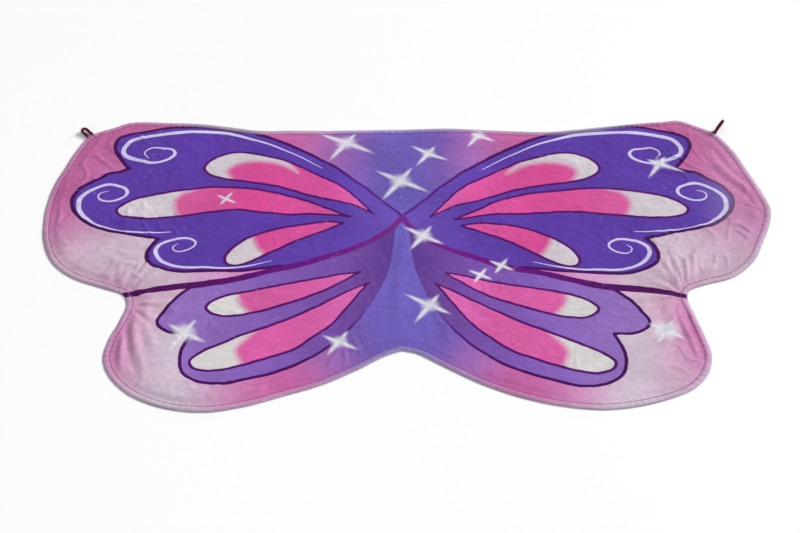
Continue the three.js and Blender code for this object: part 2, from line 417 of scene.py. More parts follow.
def closed_sheet(name, side, x, y, low, high, faces):
    """A closed sheet between two height fields over the same faces."""
    count = x.size
    points = np.vstack([to_row_frame(side, x.ravel(), y.ravel(), z.ravel()) for z in (high, low)])
    top = faces if side > 0 else faces[:, ::-1]
    rim = [(b, a, a + count, b + count) for a, b in boundary_of(top)]
    return new_mesh(name, points, top.tolist() + (top[:, ::-1] + count).tolist() + rim)


def sharpen_spine(piece, x):
    """The two halves meet at the spine, so their end faces there aren't smoothed."""
    on_spine = np.tile(x < 1e-3, 2)
    for edge in piece.data.edges:
        edge.use_edge_sharp = bool(on_spine[list(edge.vertices)].all())


def store(piece, name, values, kind="FLOAT"):
    """Keeps a number, a place or a colour at each vertex of a sheet, the same above and below."""
    values = np.concatenate([values, values])
    layer = piece.data.attributes.new(name, kind, "POINT")
    field = {"FLOAT": "value", "FLOAT_VECTOR": "vector", "FLOAT_COLOR": "color"}[kind]
    layer.data.foreach_set(field, np.ascontiguousarray(values, np.float32).ravel())


def edge_noise(along):
    """How much the cloths' cut edges wander."""
    return 0.5 * np.sin(along / 17) + 0.3 * np.sin(along / 7.3 + 2) + 0.3 * np.sin(along / 41 + 1)


def neck_part(edge):
    """How far the lining rolls over the neck edge, most on the two wings, and 0 round the rest."""
    x = edge[:, 0]
    return (0.4 + 0.6 * ease(x, 120, 210)) * (1 - ease(x, 380, 450)) * (edge[:, 1] > 200)


def near_neck(x, y):
    """1 along the middle of the neck edge and 0 at the wing tips and round the hem."""
    return (1 - ease(x, 330, 420)) * (y > 200)


def layer_edge(name, inset, waver):
    """The edge of one layer, moved in from the cape's own edge."""
    edge = EDGES[name]
    inset = inset + waver * edge_noise(np.arange(len(edge)) * EDGE_STEP)
    moved = beside(edge, inset)
    moved[[0, -1]] = edge[[0, -1]] - [[0, inset[0]], [0, -inset[-1]]]
    return moved


def make_print(name):
    """Half of the printed cloth, with a rounded rim."""
    side = SIDES[name]
    edge = layer_edge(name, PRINT_INSET + NECK_ROLL * neck_part(EDGES[name]), 0.45)
    (x, y), faces = triangulate(*sheet_points(edge, LATTICE))
    _, low, depth_in, _ = cloth_heights(name, x, y)
    rim = np.clip((depth_in - PRINT_INSET) / PRINT_ROUNDING, 0, 1)
    roundness = np.sqrt(1 - (1 - rim) ** 2)
    low = low - 0.25 * (1 - roundness)
    high = low + PRINT_THICKNESS * (0.35 + 0.65 * roundness)
    piece = closed_sheet(f"print_{name}", side, x, y, low, high, faces)
    sharpen_spine(piece, x)
    paint_print(piece, side, x, y, depth_in)
    return piece


def make_lining(name):
    """Half of the lining. It is thicker along its rim, where it is turned in."""
    side = SIDES[name]
    (x, y), faces = triangulate(*sheet_points(layer_edge(name, -0.3, 0.3), LINING_LATTICE))
    low, _, depth_in, _ = cloth_heights(name, x, y)
    lip = (1 - ease(depth_in, 0.5, 2.6)) * (0.15 + 0.55 * near_neck(x, y))
    thickness = np.where(depth_in < 3, LINING_THICKNESS + lip, LINING_THICKNESS)
    piece = closed_sheet(f"lining_{name}", side, x, y, low, low + thickness, faces)
    sharpen_spine(piece, x)
    store(piece, "pattern", np.column_stack([side * x, y, 0 * x]), "FLOAT_VECTOR")
    return piece


# ---------------------------------------------------------------- the printed picture

TOP_WING = [
    [(0, 121), (20, 141), (40, 164), (60, 188), (80, 206), (100, 228), (140, 264), (160, 279),
     (200, 305), (240, 328), (270, 337), (300, 341), (340, 350), (380, 352), (410, 350), (440, 341),
     (470, 333), (485, 322), (491, 306), (488, 290), (480, 272), (460, 241)],
    [(460, 241), (477, 233), (492, 228), (505, 216), (520, 205), (533, 194), (542, 180), (546, 166),
     (545, 150), (540, 135), (530, 119), (515, 105), (500, 96), (480, 89), (450, 81), (394, 68)],
    [(394, 68), (402, 55), (407, 42), (410, 28), (408, 14), (401, 4), (388, -4), (370, -11),
     (350, -15), (330, -14), (300, -12), (260, -10), (220, -4), (195, 0), (180, -3)],
]
BAND = [
    (0, 118, 8), (10, 100, 8), (22, 84, 8), (40, 67, 8), (60, 52, 8), (80, 40, 8.5), (100, 30, 9),
    (120, 21, 10), (140, 12, 11), (160, 3, 12), (180, -3, 12), (200, -8, 10), (220, -14, 10.5),
    (240, -21, 11), (260, -28, 11), (300, -40, 12), (320, -45, 13), (360, -51, 12.5), (400, -58, 11),
    (420, -63, 10), (438, -67, 9), (453, -71, 8),
]
LOW_WING = [
    [(332, -52), (345, -64), (355, -76), (365, -91), (373, -106), (379, -118), (381, -127),
     (378, -137), (369, -145), (355, -151), (324, -150)],
    [(324, -150), (330, -165), (335, -180), (338, -195), (338, -210), (335, -225), (327, -239),
     (313, -250), (297, -256), (280, -258), (260, -257), (240, -251), (220, -245), (200, -238),
     (180, -229), (160, -218), (145, -207), (130, -195), (115, -181), (100, -166), (85, -148),
     (72, -130), (60, -110), (48, -85), (38, -62), (30, -38), (23, -15), (19, 5), (16, 30), (13, 55),
     (12, 80), (6, 98), (0, 108)],
]
CELLS = [
    [(46, 120), (80, 167), (100, 190), (120, 207), (140, 221), (160, 236), (180, 248), (200, 260),
     (220, 267), (240, 274), (265, 282), (285, 282), (300, 278), (315, 269), (326, 258), (332, 245),
     (331, 235), (322, 224), (300, 212), (280, 207), (240, 199), (200, 190), (160, 174), (120, 157),
     (80, 143), (46, 120)],
    [(84, 113), (120, 134), (160, 159), (200, 174), (240, 183), (280, 188), (310, 191), (350, 188),
     (400, 179), (440, 166), (462, 150), (470, 136), (462, 124), (440, 118), (410, 117), (360, 122),
     (310, 129), (270, 133), (230, 129), (190, 125), (150, 125), (115, 119), (84, 113)],
    [(96, 99), (120, 104), (150, 102), (180, 96), (210, 87), (240, 71), (262, 53), (277, 34),
     (284, 17), (280, 5), (268, 1), (255, 4), (235, 16), (205, 37), (175, 58), (145, 74), (120, 87),
     (96, 99)],
    [(67, -14), (100, -21), (130, -31), (160, -39), (200, -48), (240, -57), (275, -68), (298, -82),
     (306, -95), (298, -107), (280, -114), (262, -114), (230, -107), (195, -95), (160, -80),
     (125, -61), (98, -40), (67, -14)],
    [(52, -38), (80, -56), (115, -81), (155, -108), (195, -131), (240, -154), (280, -176),
     (308, -193), (322, -210), (316, -224), (298, -231), (275, -230), (240, -220), (200, -203),
     (165, -184), (135, -157), (108, -130), (85, -94), (66, -60), (52, -38)],
]
# The white end of each cell. It fades into the pink along its first stretch.
CELL_ENDS = [
    [(175, 228), (200, 245), (220, 252), (240, 256), (262, 255), (280, 249), (290, 240), (293, 231),
     (290, 221), (282, 205), (330, 205), (350, 240), (330, 275), (290, 296), (250, 290), (215, 272),
     (190, 252)],
    [(325, 200), (348, 184), (362, 179), (374, 165), (376, 150), (373, 135), (362, 112), (480, 105),
     (490, 140), (450, 180)],
    [(250, 84), (242, 70), (238, 55), (232, 42), (216, 22), (260, -14), (300, 0), (290, 60)],
    [(256, -52), (256, -62), (256, -75), (252, -88), (245, -98), (232, -118), (290, -128),
     (320, -100), (300, -60)],
    [(220, -140), (228, -152), (245, -172), (252, -185), (252, -196), (248, -207), (238, -228),
     (300, -245), (340, -215), (300, -170)],
]
SWIRLS = [
    [(135, 240, 1.2), (160, 260, 2), (180, 274, 2.5), (200, 286, 3), (220, 299, 3.6), (240, 310, 4.3),
     (260, 319, 5), (280, 327, 6.5), (300, 333, 8), (340, 336, 9), (380, 335, 9), (400, 333, 8.5),
     (420, 330, 8), (440, 326, 8), (462, 318, 8), (471, 305, 8), (475, 293, 8), (473, 281, 8),
     (464, 271, 9), (440, 261, 7), (425, 256, 6), (407, 259, 5), (392, 268, 6), (386, 279, 6),
     (392, 289, 4.5), (410, 293, 4), (425, 295, 3.5), (435, 289, 3), (438, 280, 2.5), (430, 268, 1.3)],
    [(378, 84, 1.5), (400, 83, 2.5), (440, 85, 3.5), (460, 87, 4), (480, 93, 5), (500, 101, 6),
     (515, 113, 7), (525, 125, 7.5), (532, 138, 8), (534, 152, 8), (533, 165, 8), (526, 177, 7),
     (515, 187, 6), (495, 199, 6), (485, 200, 6), (472, 196, 6), (462, 191, 6), (457, 182, 6),
     (459, 173, 5), (467, 165, 4.5), (478, 159, 4), (490, 158, 4), (500, 162, 3.5), (504, 169, 3),
     (502, 177, 2.4), (490, 183, 1.3)],
    [(210, 13, 1.2), (230, 6, 2), (250, 0, 3), (270, -4, 3.5), (290, -6, 4), (315, -5, 4.5),
     (335, -6, 5), (355, -4, 5.5), (370, 1, 6), (384, 10, 6.5), (394, 24, 7), (397, 36, 7),
     (393, 49, 6.5), (384, 58, 6), (370, 64, 5.5), (355, 67, 5), (342, 64, 4.5), (334, 57, 4),
     (333, 49, 3.6), (339, 41, 3.3), (349, 35, 3), (360, 33, 2.7), (368, 38, 2.5), (369, 46, 2),
     (363, 52, 1.2)],
]
# Sparkles: middle, core size, and the arms' lengths towards lower right, upper right, upper left
# and lower left. x is below zero on the left.
SPARKLES = [
    (-95, 305, 12, 52, 28, 50, 52), (-3, 208, 12, 51, 35, 44, 54), (45, 281, 8, 36, 20, 32, 38),
    (131, 330, 9, 31, 12, 14, 36), (34, 75, 10, 36, 25, 35, 38), (43, -87, 10, 35, 26, 42, 43),
    (124, -18, 5, 20, 18, 20, 20), (158, 5, 5.5, 22, 18, 20, 20), (-97, -170, 9, 33, 25, 27, 31),
    (-335, -150, 13, 38, 30, 30, 42), (-291, 160, 3, 19, 18, 17, 15), (435, 254, 9, 42, 20, 22, 40),
    (405, -145, 15, 30, 24, 28, 30),
]
SPARKLE_ANGLE = math.radians(-31)
ARM_STRETCH = 1.2  # an arm's faint tip runs on beyond its length in the table
SWIRL_STEP = 2.0

# The airbrushed ground: a colour and the places where it lies.
GROUND = [
    ((105, 88, 176), [(0, 335), (0, 250), (0, 170), (30, 290), (50, 330)]),
    ((110, 94, 186), [(0, 90), (0, 20), (0, -60), (0, -120), (20, -160), (0, -190)]),
    ((113, 90, 177), [(66, 300), (60, 230), (60, -170)]),
    ((140, 97, 176), [(98, 300), (90, 330), (98, 240), (98, -200)]),
    ((170, 108, 174), [(124, 310), (118, 270), (122, -215)]),
    ((196, 98, 160), [(155, 320), (190, 330), (235, 342), (160, -236), (205, -262), (185, -250)]),
    ((186, 98, 150), [(290, 350), (480, 352), (520, 330), (510, 290), (560, 200), (598, 150), (560, 260)]),
    ((190, 108, 162), [(515, 235), (495, 245), (560, 125), (588, 110), (582, 80)]),
    ((192, 140, 174), [(552, 78), (575, 50), (500, 86)]),
    ((203, 182, 198), [(480, 55), (520, 30), (430, 50), (420, 10), (470, 10), (360, -32), (410, -30)]),
    ((196, 158, 182), [(500, -14), (450, -34), (546, 10)]),
    ((206, 150, 196), [(280, -24), (300, -28)]),
    ((206, 116, 180), [(240, -17), (215, -8)]),
    ((198, 104, 168), [(225, -276), (240, -290)]),
    ((192, 98, 162), [(452, -110), (462, -150), (470, -190), (472, -225)]),
    ((197, 122, 170), [(446, -72), (436, -110), (450, -160), (458, -210), (452, -245)]),
    ((205, 172, 194), [(400, -100), (412, -180), (380, -80), (416, -230), (400, -262)]),
    ((206, 190, 206), [(365, -180), (360, -240), (350, -285), (345, -160), (300, -292), (385, -130)]),
    ((208, 150, 190), [(255, -284), (268, -272)]),
]
SOFT_REACH = 30.0  # how far each ground colour spreads


def linear(colour):
    """0 to 255 screen values as linear light."""
    c = np.asarray(colour, float) / 255
    return np.where(c <= 0.04045, c / 12.92, ((c + 0.055) / 1.055) ** 2.4)


def ground_colours(x, y):
    """The airbrushed ground at each point."""
    total, weights = np.zeros((len(x), 3)), np.zeros((len(x), 1))
    for colour, places in GROUND:
        for px, py in places:
            square = ((x - px) ** 2 + (y - py) ** 2) / SOFT_REACH**2
            weight = (np.exp(-0.5 * square) + 0.002 / (1 + square))[:, None]
            total += weight * linear(colour)
            weights += weight
    return total / weights


def joined(stretches):
    """One outline from smooth stretches that meet at corners."""
    return np.vstack([smooth_line(stretch, 3.0)[:, :2] for stretch in stretches])


def drifted(side, x, y):
    """The picture's own place for each vertex. It sits a little low on the right and at the left tip."""
    signed = side * x
    low = (3.2 - 1.9 * ease(signed, 280, 420)) * ease(signed, -60, 60)
    low += 3.6 * ease(-signed, 300, 420) * ease(y, 20, 80) - 1.2 * (1 - ease(y, -80, 0))
    drawn_in = 1.3 + 3.5 * (1 - ease(y, -80, 0))
    return x + drawn_in * ease(-signed, 300, 420), y + low


def swirl_fields(x, y):
    """The place across the nearest swirl's stroke, -1 to 1 in it, and the distance from it."""
    across, near = np.full(len(x), 1e3), np.full(len(x), 1e3)
    for swirl in SWIRLS:
        line = smooth_line(swirl, SWIRL_STEP)
        distance, along, hand = measure(line, x, y)
        half = np.interp(along, np.arange(len(line)) * SWIRL_STEP, line[:, 2]) / 2
        closer = distance - half < near
        near[closer] = (distance - half)[closer]
        across[closer] = (hand * distance / half)[closer]
    return across, near


def rim_sheen_and_paling(side, x, y, depth_in):
    """How far the colour is paled: painted sheen on the print's rolled rim and margin, most along the neck
    edge, and paler towards the right tip.
    """
    margin = 0.2 + (0.15 + 0.12 * (side < 0)) * near_neck(x, y)
    sheen_and_wear = margin * (1 - ease(depth_in, SEAM - 2, SEAM + 0.5)) + 0.3 * (1 - ease(depth_in, 1.5, 6))
    sheen_and_wear += 0.2 * ease(side * x, 470, 560)
    return sheen_and_wear + 0.24 * ease(side * x, 380, 450) * (1 - ease(y, -250, -150))


def paint_print(piece, side, x, y, depth_in):
    """Stores how far each vertex is from the picture's lines, which the material draws from, and the masks
    for the painted shade along the stitching and the painted sheen on the rim.
    """
    x, y = drifted(side, x, y)
    band = smooth_line(BAND, 4)
    fields = {"seam": np.abs(depth_in - SEAM), "sheen_and_wear": rim_sheen_and_paling(side, x, y, depth_in)}
    above, below = band[band[:, 0] < 178][::-1, :2], band[band[:, 0] < 330][:, :2]
    fields["upper"] = depth(np.vstack([joined(TOP_WING), above]), x, y)
    fields["lower"] = depth(np.vstack([below, joined(LOW_WING)]), x, y)
    fields["cell"] = np.max([depth(smooth_line(cell, 3), x, y) for cell in CELLS], axis=0)
    fields["white"] = np.max([depth(np.array(end, float), x, y) for end in CELL_ENDS], axis=0)
    distance, along, _ = measure(band, x, y)
    places = np.linspace(0, along.max(), len(band))
    fields["band"] = np.interp(along, places, band[:, 2]) / 2 - distance
    fields["swirl_side"], fields["swirl_near"] = swirl_fields(x, y)
    for title, values in fields.items():
        store(piece, title, np.clip(values, -200, 200))
    store(piece, "pattern", np.column_stack([side * x, y, 0 * x]), "FLOAT_VECTOR")
    store(piece, "ground", np.column_stack([ground_colours(x, y), np.ones(len(x))]), "FLOAT_COLOR")


# ---------------------------------------------------------------- materials

class Nodes:
    """A node tree with short calls for the nodes that are used here."""

    def __init__(self, tree):
        self.tree = tree

    def node(self, kind, inputs=(), **settings):
        made = self.tree.nodes.new(kind)
        for key, value in settings.items():
            setattr(made, key, value)
        for key, value in dict(inputs).items():
            self.give(made.inputs[key], value)
        return made

    def give(self, socket, value):
        if isinstance(value, bpy.types.NodeSocket):
            self.tree.links.new(value, socket)
        else:
            socket.default_value = value

    def math(self, operation, *values):
        return self.node("ShaderNodeMath", enumerate(values), operation=operation).outputs[0]

    def read(self, name, output="Fac"):
        return self.node("ShaderNodeAttribute", attribute_name=name).outputs[output]

    def ease(self, value, low, high, start=0.0, end=1.0):
        return self.node("ShaderNodeMapRange", {0: value, 1: low, 2: high, 3: start, 4: end},
                         interpolation_type="SMOOTHSTEP").outputs[0]

    def mix(self, factor, below, above, blend="MIX"):
        return self.node("ShaderNodeMix", data_type="RGBA", blend_type=blend,
                         inputs={0: factor, 6: below, 7: above}).outputs[2]

    def vector(self, operation, one, two=(0, 0, 0), output=0):
        return self.node("ShaderNodeVectorMath", {0: one, 1: two}, operation=operation).outputs[output]

    def noise(self, scale, detail=2.0, roughness=0.5, **place):
        inputs = {"Scale": scale, "Detail": detail, "Roughness": roughness, **place}
        return self.node("ShaderNodeTexNoise", inputs).outputs["Fac"]

    def ramp(self, value, *stops):
        """A colour ramp whose stops are (place, 0 to 255 colour)."""
        made = self.node("ShaderNodeValToRGB", {0: value})
        elements = made.color_ramp.elements
        while len(elements) < len(stops):
            elements.new(0.5)
        for element, (place, colour) in zip(elements, stops):
            element.position = place
            element.color = plain(*colour)
        return made.outputs[0]


class Shader(Nodes):
    """A material that is made from nodes."""

    def __init__(self, name, **values):
        self.material = bpy.data.materials.new(name)
        self.material.use_nodes = True
        super().__init__(self.material.node_tree)
        self.surface = next(n for n in self.tree.nodes if n.type == "BSDF_PRINCIPLED")
        for socket, value in values.items():
            self.surface.inputs[socket.replace("_", " ")].default_value = value

    def finish(self, colour, bumps=None, metres=0.0, strength=0.5):
        """Sets the surface's colour, and its fine bumps with their height in metres."""
        self.give(self.surface.inputs["Base Color"], colour)
        if bumps is not None:
            made = self.node("ShaderNodeBump", {"Height": bumps, "Distance": metres,
                                                "Strength": strength})
            self.give(self.surface.inputs["Normal"], made.outputs[0])
        return self.material


def plain(*rgb):
    """A colour for a socket, from 0 to 255 screen values."""
    return (*linear(rgb), 1)


def sparkle_group():
    """How bright a four-armed sparkle is at a place."""
    tree = bpy.data.node_groups.new("sparkle", "ShaderNodeTree")
    for title in ("Place", "Middle", "Core", "Right", "Up", "Left", "Down"):
        kind = "Vector" if title in ("Place", "Middle") else "Float"
        tree.interface.new_socket(title, in_out="INPUT", socket_type=f"NodeSocket{kind}")
    tree.interface.new_socket("Light", in_out="OUTPUT", socket_type="NodeSocketFloat")
    build = Nodes(tree)
    given = build.node("NodeGroupInput").outputs
    away = build.vector("SUBTRACT", given["Place"], given["Middle"])

    def arm_light(place, across, forward, backward):
        """A soft stroke that narrows to its tip."""
        ahead = build.math("GREATER_THAN", place, 0.0)
        span = build.math("SUBTRACT", given[forward], given[backward])
        arm = build.math("MULTIPLY_ADD", ahead, span, given[backward])
        share = build.math("DIVIDE", build.math("ABSOLUTE", place), arm)
        left = build.math("MAXIMUM", build.math("SUBTRACT", 1.0, share), 0.0)
        wide = build.math("MULTIPLY", given["Core"], 0.6)
        half = build.math("MULTIPLY_ADD", build.math("POWER", left, 1.5), wide, 2.0)
        near = build.ease(build.math("DIVIDE", build.math("ABSOLUTE", across), half), 0.0, 1.5, 1.0, 0.0)
        return build.math("MULTIPLY", near, build.ease(share, 0.55, 1.0, 0.95, 0.0))

    c, s = math.cos(SPARKLE_ANGLE), math.sin(SPARKLE_ANGLE)
    one, two = (build.vector("DOT_PRODUCT", away, axis, "Value") for axis in ((c, s, 0), (-s, c, 0)))
    reach = build.vector("LENGTH", away, output="Value")
    glow = build.ease(build.math("DIVIDE", reach, given["Core"]), 0.2, 1.9, 1.0, 0.0)
    arms = build.math("MAXIMUM", arm_light(one, two, "Right", "Left"),
                      arm_light(two, one, "Up", "Down"))
    build.node("NodeGroupOutput", {0: build.math("MAXIMUM", arms, glow)})
    return tree


LINE_EDGE = 0.5  # how soft a printed line's edge is, in millimetres


def draw_butterfly(cloth, place):
    """The picture's colours: the ground, both wings, their cells and swirls, and the band, with painted
    sheen that pales the rim and margin.
    """
    out = cloth.math("ABSOLUTE", cloth.node("ShaderNodeSeparateXYZ", {0: place}).outputs[0])
    span = cloth.math("DIVIDE", out, 600.0)
    wobble = cloth.ease(cloth.noise(0.035, Vector=place), 0.3, 0.7, -0.6, 0.6)
    thin = cloth.ease(span, 0.05, 0.35, -0.9, 0.0)

    def line(title):
        """How far inside a printed line. Printed lines waver a little."""
        return cloth.math("ADD", cloth.read(title), wobble)

    def inside(title, low=-LINE_EDGE, high=LINE_EDGE):
        return cloth.ease(line(title), low, high)

    def stroke(title, width):
        near = cloth.math("SUBTRACT", cloth.math("ABSOLUTE", line(title)), thin)
        return cloth.ease(near, width / 2 - LINE_EDGE, width / 2 + LINE_EDGE, 1.0, 0.0)

    violet = cloth.ramp(span, (0.0, (106, 80, 178)), (0.18, (94, 62, 167)), (0.4, (89, 56, 161)),
                        (0.9, (91, 60, 162)))
    lilac = cloth.ramp(span, (0.02, (92, 57, 142)), (0.14, (112, 72, 158)), (0.33, (128, 90, 178)),
                       (0.56, (145, 109, 187)))
    upper_pink = cloth.ramp(span, (0.1, (216, 99, 173)), (0.2, (216, 84, 157)), (0.4, (212, 74, 146)),
                            (0.6, (210, 90, 154)))
    lower_pink = cloth.ramp(span, (0.1, (216, 106, 178)), (0.25, (213, 92, 162)),
                            (0.5, (211, 92, 158)), (0.6, (210, 98, 162)))
    plum = cloth.ramp(span, (0.02, (112, 40, 136)), (0.16, (106, 20, 128)), (0.33, (100, 8, 120)),
                      (0.45, (84, 4, 100)), (0.7, (74, 0, 82)))
    ink = cloth.ramp(span, (0.06, (88, 34, 136)), (0.25, (68, 4, 88)))
    in_upper = inside("upper")
    pink = cloth.mix(in_upper, lower_pink, upper_pink)
    white = cloth.mix(in_upper, plain(212, 209, 208), plain(206, 197, 205))
    colour = cloth.mix(inside("lower"), cloth.read("ground", "Color"), lilac)
    drawn = cloth.ease(span, 0.05, 0.15)
    colour = cloth.mix(cloth.math("MULTIPLY", stroke("lower", 5.8), drawn), colour, ink)
    colour = cloth.mix(in_upper, colour, violet)
    colour = cloth.mix(inside("cell"), colour, cloth.mix(inside("white", -8.0, 9.0), pink, white))
    colour = cloth.mix(stroke("cell", 5.2), colour, plain(84, 10, 104))
    near = cloth.ease(cloth.read("swirl_near"), 1.6, 2.4, 1.0, 0.0)
    core = cloth.ease(cloth.math("ABSOLUTE", cloth.read("swirl_side")), 0.82, 1.12, 1.0, 0.0)
    colour = cloth.mix(cloth.math("MULTIPLY", near, core), colour, plain(205, 197, 231))
    colour = cloth.mix(stroke("upper", 6.8), colour, ink)
    # Painted sheen: the rolled rim and the margin outside the stitching are paled toward grey-lilac, and
    # the right tip is paler too.
    colour = cloth.mix(cloth.read("sheen_and_wear"), colour, plain(196, 180, 200))
    return cloth.mix(inside("band", -1.6, -0.4), colour, plum)


def add_sparkles(cloth, place, colour):
    group = sparkle_group()
    light = 0.0
    for x, y, core, *arms in SPARKLES:
        values = ((x, y, 0), core, *(ARM_STRETCH * arm for arm in arms))
        star = cloth.node("ShaderNodeGroup", node_tree=group)
        for socket, value in zip(star.inputs, (place, *values)):
            cloth.give(socket, value)
        light = cloth.math("MAXIMUM", light, star.outputs[0])
    return cloth.mix(light, colour, plain(222, 220, 228))


def printed_cloth():
    """Short velour with the butterfly picture printed on it."""
    cloth = Shader("printed_velour", Roughness=0.82, Sheen_Weight=0.04, Sheen_Roughness=0.4,
                   Sheen_Tint=(0.93, 0.88, 1.0, 1), Specular_IOR_Level=0.1)
    place = cloth.read("pattern", "Vector")
    colour = add_sparkles(cloth, place, draw_butterfly(cloth, place))
    # Painted shade: a dark plum line along the topstitching stands for the shade in the stitched groove.
    painted_groove_shade = cloth.ease(cloth.read("seam"), 0.5, 1.5, 0.34, 0.0)
    colour = cloth.mix(painted_groove_shade, colour, plain(92, 40, 104))
    stretched = cloth.node("ShaderNodeMapping", {"Vector": place, "Scale": (0.25, 1.0, 1.0),
                                                 "Rotation": (0, 0, 0.5)}).outputs[0]
    brushed = cloth.noise(0.11, 4.0, 0.62, Vector=stretched)
    soft = cloth.noise(0.012, 3.0, 0.55, Vector=place)
    grain = cloth.noise(0.16, 3.0, 0.6, Vector=place)
    ribs = cloth.node("ShaderNodeTexWave", {"Vector": place, "Scale": 0.13, "Distortion": 2.2,
                                            "Detail": 2.0, "Detail Scale": 0.6}).outputs["Fac"]
    shade = cloth.ease(grain, 0.3, 0.7, 0.94, 1.06)
    for value, low, high, swing in ((soft, 0.3, 0.7, 0.06), (brushed, 0.25, 0.75, 0.06),
                                    (ribs, 0.1, 0.9, 0.02)):
        shade = cloth.math("ADD", shade, cloth.ease(value, low, high, -swing, swing))
    grey = cloth.node("ShaderNodeCombineXYZ", {0: shade, 1: shade, 2: shade}).outputs[0]
    colour = cloth.mix(1.0, colour, grey, "MULTIPLY")
    worn_places = cloth.ease(cloth.noise(0.02, Vector=place), 0.5, 0.62)
    flecks = cloth.ease(cloth.noise(0.3, 2.0, 0.7, Vector=stretched), 0.6, 0.78, 0.0, 0.5)
    colour = cloth.mix(cloth.math("MULTIPLY", flecks, worn_places), colour, plain(200, 190, 224))
    nap = cloth.math("ADD", cloth.noise(0.9, 3.0, 0.7, Vector=place),
                     cloth.math("MULTIPLY", brushed, 0.8))
    return cloth.finish(colour, nap, 0.0005)


def lining_cloth():
    """Thin woven polyester with a slight shine."""
    cloth = Shader("woven_lining", Roughness=0.5, Sheen_Weight=0.15, Specular_IOR_Level=0.4)
    place = cloth.read("pattern", "Vector")
    threads = []
    for turn in (0.0, math.pi / 2):
        turned = cloth.node("ShaderNodeMapping", {"Vector": place, "Rotation": (0, 0, turn)})
        threads.append(cloth.node("ShaderNodeTexWave", {"Vector": turned.outputs[0], "Scale": 0.55,
                                                        "Distortion": 0.4}).outputs["Fac"])
    weave = cloth.math("MAXIMUM", *threads)
    soft = cloth.noise(0.035, 4.0, 0.65, Vector=place)
    pale = cloth.ramp(soft, (0.3, (160, 149, 181)), (0.7, (190, 181, 205)))
    colour = cloth.mix(cloth.ease(weave, 0.2, 0.9, 0.0, 0.35), pale, plain(206, 199, 218))
    return cloth.finish(colour, weave, 0.0002)


def twisted_thread(name, *rgb):
    """Shiny sewing thread with its twist."""
    thread = Shader(name, Roughness=0.42, Sheen_Weight=0.3)
    dark = tuple(0.72 * c for c in rgb)
    colour = thread.ramp(thread.noise(900.0), (0.3, dark), (0.7, rgb))
    return thread.finish(colour, thread.noise(2600.0), 0.0002, 0.6)


def elastic_cord():
    """Braided maroon elastic."""
    elastic = Shader("maroon_elastic", Roughness=0.7, Specular_IOR_Level=0.25)
    fine = elastic.noise(1500.0, 3.0, 0.6)
    sheen_and_wear = elastic.ease(elastic.noise(160.0), 0.4, 0.7, 0.0, 0.35)
    colour = elastic.ramp(fine, (0.3, (78, 2, 38)), (0.55, (104, 8, 54)), (0.75, (138, 34, 84)))
    return elastic.finish(elastic.mix(sheen_and_wear, colour, plain(58, 4, 28)), fine, 0.0003, 0.7)


def label_cloth():
    """White woven satin."""
    label = Shader("label_satin", Roughness=0.45, Sheen_Weight=0.2)
    wave = label.node("ShaderNodeTexWave", {"Scale": 900.0, "Distortion": 0.6},
                      bands_direction="Y").outputs["Fac"]
    pale = label.ramp(label.noise(260.0), (0.3, (226, 224, 226)), (0.7, (240, 238, 238)))
    colour = label.mix(label.ease(wave, 0.3, 0.9, 0.0, 0.3), pale, plain(212, 210, 216))
    return label.finish(colour, wave, 0.0001, 0.6)


def floor_finish():
    """A matt pale floor."""
    floor = Shader("pale_floor", Roughness=0.9, Specular_IOR_Level=0.1)
    return floor.finish(floor.ramp(floor.noise(6.0), (0.3, (252, 252, 252)), (0.7, (254, 254, 254))))


# ---------------------------------------------------------------- thread

STITCH_LENGTH = 2.7
STITCH_PITCH = 3.4
THREAD_RADIUS = 0.42
BAR_THREAD_RADIUS = 0.36
FINE_THREAD_RADIUS = 0.28
LABEL_THREAD_RADIUS = 0.3
THREAD_LIFT = 0.12  # of a stitch's middle above the print


def thread_bead(radius, sides=6, rings=5):
    """One stitch along X from -0.5 to 0.5, thin at its ends, which dip into the cloth."""
    t = np.linspace(0, 1, rings)
    swell = radius * (0.35 + 0.65 * np.sin(math.pi * t) ** 0.6)
    dip = -0.9 * radius * (1 - np.sin(math.pi * t) ** 0.5)
    turn = 2 * math.pi * np.arange(sides) / sides
    points = [(a - 0.5, s * math.cos(u), s * math.sin(u) + d)
              for a, s, d in zip(t, swell, dip) for u in turn]
    return np.array(points), tube_faces(rings, sides)


def sew(name, starts, ends, radius):
    """Stitches between pairs of points, in metres in the row frame. The radius is in millimetres."""
    bead, faces = thread_bead(radius)
    points, polygons = [], []
    for a, b in zip(starts / MM, ends / MM):
        length = np.linalg.norm(b - a)
        along = (b - a) / length
        across = np.cross((0, 0, 1.0), along)
        across /= np.linalg.norm(across)
        up = np.cross(along, across)
        first = len(points) * len(bead)
        points.append((a + b) / 2 + bead @ np.array([length * along, across, up]))
        polygons += [tuple(first + i for i in f) for f in faces]
    return new_mesh(name, np.vstack(points) * MM, polygons)


def on_print(name, points, lift=THREAD_LIFT):
    """Pattern points laid on the print's upper face, in metres in the row frame."""
    x, y = np.asarray(points, float).T
    low = cloth_heights(name, x, y)[1]
    return to_row_frame(SIDES[name], x, y, low + PRINT_THICKNESS + lift)


def make_topstitch(name):
    """The stitching round the cape, a stitch for each pitch along the seam."""
    line = even_steps(beside(EDGES[name], SEAM)[1:-1], STITCH_PITCH)
    ahead = np.diff(line, axis=0)
    ahead /= np.linalg.norm(ahead, axis=1)[:, None]
    ends = line[:-1] + ahead * STITCH_LENGTH
    return sew(f"topstitch_{name}", on_print(name, line[:-1]), on_print(name, ends), THREAD_RADIUS)


# ---------------------------------------------------------------- finger loops

